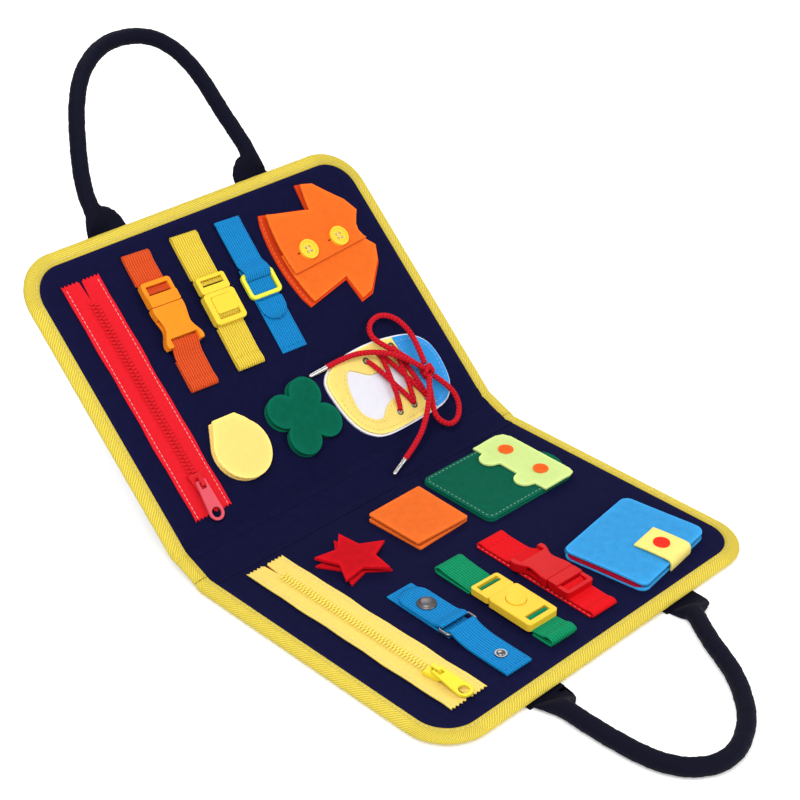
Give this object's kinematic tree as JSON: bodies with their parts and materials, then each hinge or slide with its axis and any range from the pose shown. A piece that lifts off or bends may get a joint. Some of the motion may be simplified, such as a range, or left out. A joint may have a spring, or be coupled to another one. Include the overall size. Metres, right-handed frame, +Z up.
{
  "type": "fold-up felt activity board",
  "caption": "Briefcase-like fold-up felt activity board for small children, with zips, buckles, snaps, buttons and a lace-up shoe inside.",
  "frame": {"origin": "middle of the lower panel's flat underside, on the surface it lies on", "axes": "+Z up, +Y from the lower panel towards the upper panel, +X to the right when looking along +Y"},
  "size_m": [0.3, 0.6116, 0.2556],
  "materials": {
    "printed_cloth": "matt woven cotton with a plain printed pattern",
    "navy_felt": "matt felt",
    "navy_cloth": "matt woven cloth",
    "yellow_binding": "matt twill tape",
    "board": "plain",
    "button_yellow": "glossy",
    "elastic_navy": "matt elastic cord",
    "red_zip": "matt tape",
    "zip_metal_pink": "glossy lacquer",
    "yellow_zip": "matt tape",
    "zip_yellow": "glossy lacquer",
    "orange_webbing": "ribbed webbing",
    "orange_plastic": "glossy",
    "yellow_webbing": "ribbed webbing",
    "yellow_plastic": "glossy",
    "blue_webbing": "ribbed webbing",
    "lemon_plastic": "glossy",
    "green_webbing": "ribbed webbing",
    "red_webbing": "ribbed webbing",
    "red_plastic": "glossy",
    "metal": "polished",
    "orange_felt": "matt felt",
    "lemon_felt": "matt felt",
    "clover_felt": "matt felt",
    "star_felt": "matt felt",
    "square_felt": "matt felt",
    "shoe_yellow_felt": "matt felt",
    "shoe_white_felt": "matt felt",
    "shoe_blue_felt": "matt felt",
    "red_lace": "braided cord",
    "lace_tip": "glossy",
    "satchel_green_felt": "matt felt",
    "satchel_light_felt": "matt felt",
    "wallet_blue_felt": "matt felt",
    "wallet_red_felt": "matt felt",
    "wallet_yellow_felt": "matt felt"
  },
  "bodies": {
    "lower_panel": {"lower_cover": "printed_cloth", "lower_stiffener": "board", "lower_lining": "navy_felt", "lower_binding": "yellow_binding", "closure_button": "button_yellow", "yellow_zip_tape": "yellow_zip", "star_and_square_bases": "star_felt", "snap_webbing": "blue_webbing", "snap_ring_and_grommet": "metal", "green_webbing": "green_webbing", "green_buckle_body": "yellow_plastic", "red_webbing": "red_webbing", "red_buckle_socket": "red_plastic", "satchel_pocket": "satchel_green_felt", "wallet_back": "wallet_red_felt"},
    "spine": {"spine_cover": "navy_cloth", "spine_binding": "yellow_binding"},
    "upper_panel": {"upper_cover": "printed_cloth", "upper_stiffener": "board", "upper_lining": "navy_felt", "upper_binding": "yellow_binding", "closure_loop": "elastic_navy", "red_zip_tape": "red_zip", "orange_webbing": "orange_webbing", "orange_buckle_socket": "orange_plastic", "yellow_webbing": "yellow_webbing", "yellow_buckle_body": "yellow_plastic", "belt_webbing": "blue_webbing", "belt_ring": "lemon_plastic", "shirt_back": "orange_felt", "shirt_buttons": "button_yellow", "lemon_and_clover_bases": "lemon_felt", "shoe_sole": "shoe_white_felt", "shoe_upper": "shoe_yellow_felt", "shoe_heel_patch": "shoe_blue_felt", "shoe_lacing": "red_lace", "lace_bow": "red_lace", "lace_tips": "lace_tip"},
    "lower_handle": {"lower_handle": "navy_cloth"},
    "upper_handle": {"upper_handle": "navy_cloth"},
    "red_zip_slider": {"red_zip_slider": "zip_metal_pink"},
    "red_zip_puller": {"red_zip_puller": "zip_metal_pink"},
    "yellow_zip_slider": {"yellow_zip_slider": "zip_yellow"},
    "yellow_zip_puller": {"yellow_zip_puller": "zip_yellow"},
    "orange_plug": {"orange_buckle_plug": "orange_plastic"},
    "yellow_plug": {"yellow_buckle_plug": "yellow_plastic"},
    "yellow_pad": {"yellow_buckle_push_pad": "yellow_plastic"},
    "green_plug": {"green_buckle_plug": "yellow_plastic"},
    "green_button": {"green_buckle_push_button": "yellow_plastic"},
    "red_plug": {"red_buckle_plug": "red_plastic"},
    "belt_tongue": {"belt_tongue": "blue_webbing"},
    "snap_tongue": {"snap_tongue": "blue_webbing"},
    "shirt_front": {"shirt_front": "orange_felt"},
    "lemon": {"lemon_top": "lemon_felt"},
    "clover": {"clover_top": "clover_felt"},
    "star": {"star_top": "star_felt"},
    "square": {"square_top": "square_felt"},
    "satchel_flap": {"satchel_flap": "satchel_light_felt"},
    "wallet_cover": {"wallet_cover": "wallet_blue_felt"},
    "wallet_tab": {"wallet_tab": "wallet_yellow_felt"}
  },
  "joints": [
    {"name": "fold_lower", "type": "hinge", "parent": "lower_panel", "child": "spine", "pos_m": [0, 0.10875, 0.007], "axis": [-1, 0, 0], "range_deg": [-68.55, 21.45]},
    {"name": "fold_upper", "type": "hinge", "parent": "spine", "child": "upper_panel", "pos_m": [0, 0.13202, 0.01614], "axis": [-1, 0, 0], "range_deg": [-68.55, 21.45], "deforming": ["lace_bow", "lace_tips"]},
    {"name": "lower_handle_swing", "type": "hinge", "parent": "lower_panel", "child": "lower_handle", "pos_m": [0, -0.11475, 0.00045], "axis": [-1, 0, 0], "range_deg": [0, 90]},
    {"name": "upper_handle_swing", "type": "hinge", "parent": "upper_panel", "child": "upper_handle", "pos_m": [0, 0.3002, 0.16348], "axis": [1, 0, 0], "range_deg": [0, 90]},
    {"name": "red_zip_run", "type": "slide", "parent": "upper_panel", "child": "red_zip_slider", "axis": [0, 0.7325, 0.6807], "range_m": [0, 0.129]},
    {"name": "red_zip_puller_flip", "type": "hinge", "parent": "red_zip_slider", "child": "red_zip_puller", "pos_m": [-0.1075, 0.15459, 0.04503], "axis": [-1, 0, 0], "range_deg": [0, 150]},
    {"name": "yellow_zip_run", "type": "slide", "parent": "lower_panel", "child": "yellow_zip_slider", "axis": [0, 1, 0], "range_m": [0, 0.128]},
    {"name": "yellow_zip_puller_flip", "type": "hinge", "parent": "yellow_zip_slider", "child": "yellow_zip_puller", "pos_m": [-0.1055, -0.05705, 0.01355], "axis": [-1, 0, 0], "range_deg": [0, 150]},
    {"name": "orange_plug_slide", "type": "slide", "parent": "upper_panel", "child": "orange_plug", "axis": [0.0471, 0.7317, 0.68], "range_m": [0, 0.024], "deforming": ["orange_webbing"]},
    {"name": "yellow_plug_slide", "type": "slide", "parent": "upper_panel", "child": "yellow_plug", "axis": [0.0488, 0.7317, 0.6799], "range_m": [0, 0.022], "deforming": ["yellow_webbing"]},
    {"name": "yellow_pad_press", "type": "slide", "parent": "upper_panel", "child": "yellow_pad", "axis": [0, 0.6807, -0.7325], "range_m": [0, 0.0011], "stiffness_N_per_m": 400, "springref_m": -0.0004},
    {"name": "green_plug_slide", "type": "slide", "parent": "lower_panel", "child": "green_plug", "axis": [0.0349, 0.9994, 0], "range_m": [0, 0.022], "deforming": ["green_webbing"]},
    {"name": "green_button_press", "type": "slide", "parent": "lower_panel", "child": "green_button", "axis": [0, 0, -1], "range_m": [0, 0.0011], "stiffness_N_per_m": 400, "springref_m": -0.0004},
    {"name": "red_plug_slide", "type": "slide", "parent": "lower_panel", "child": "red_plug", "axis": [-0.0349, -0.9994, 0], "range_m": [0, 0.024], "deforming": ["red_webbing"]},
    {"name": "belt_tongue_peel", "type": "hinge", "parent": "upper_panel", "child": "belt_tongue", "pos_m": [0.01678, 0.22528, 0.10677], "axis": [-0.999, 0.032, 0.0297], "range_deg": [0, 120]},
    {"name": "snap_tongue_open", "type": "hinge", "parent": "lower_panel", "child": "snap_tongue", "pos_m": [-0.0626, -0.02975, 0.01105], "axis": [0.9997, -0.0227, 0], "range_deg": [0, 150]},
    {"name": "shirt_front_open", "type": "hinge", "parent": "upper_panel", "child": "shirt_front", "pos_m": [0.082, 0.26061, 0.14219], "axis": [-1, 0, 0], "range_deg": [0, 150], "deforming": ["shirt_front"]},
    {"name": "lemon_lift", "type": "slide", "parent": "upper_panel", "child": "lemon", "axis": [0, -0.6807, 0.7325], "range_m": [0, 0.035]},
    {"name": "clover_lift", "type": "slide", "parent": "upper_panel", "child": "clover", "axis": [0, -0.6807, 0.7325], "range_m": [0, 0.035]},
    {"name": "star_lift", "type": "slide", "parent": "lower_panel", "child": "star", "axis": [0, 0, 1], "range_m": [0, 0.035]},
    {"name": "square_lift", "type": "slide", "parent": "lower_panel", "child": "square", "axis": [0, 0, 1], "range_m": [0, 0.035]},
    {"name": "satchel_flap_open", "type": "hinge", "parent": "lower_panel", "child": "satchel_flap", "pos_m": [0.11899, 0.05852, 0.0103], "axis": [0.0175, 0.9998, 0], "range_deg": [0, 150]},
    {"name": "wallet_cover_open", "type": "hinge", "parent": "lower_panel", "child": "wallet_cover", "pos_m": [0.07869, -0.02505, 0.0119], "axis": [-0.9903, -0.1392, 0], "range_deg": [0, 120], "deforming": ["wallet_tab"]},
    {"name": "wallet_tab_open", "type": "hinge", "parent": "lower_panel", "child": "wallet_tab", "pos_m": [0.08757, -0.08823, 0.007], "axis": [0.9903, 0.1392, 0], "range_deg": [0, 90]}
  ],
  "couplings": [
    {"joint": "fold_upper", "follows": "fold_lower", "ratio": 1},
    {"joint": "wallet_tab_open", "follows": "wallet_cover_open", "ratio": 0.75}
  ]
}
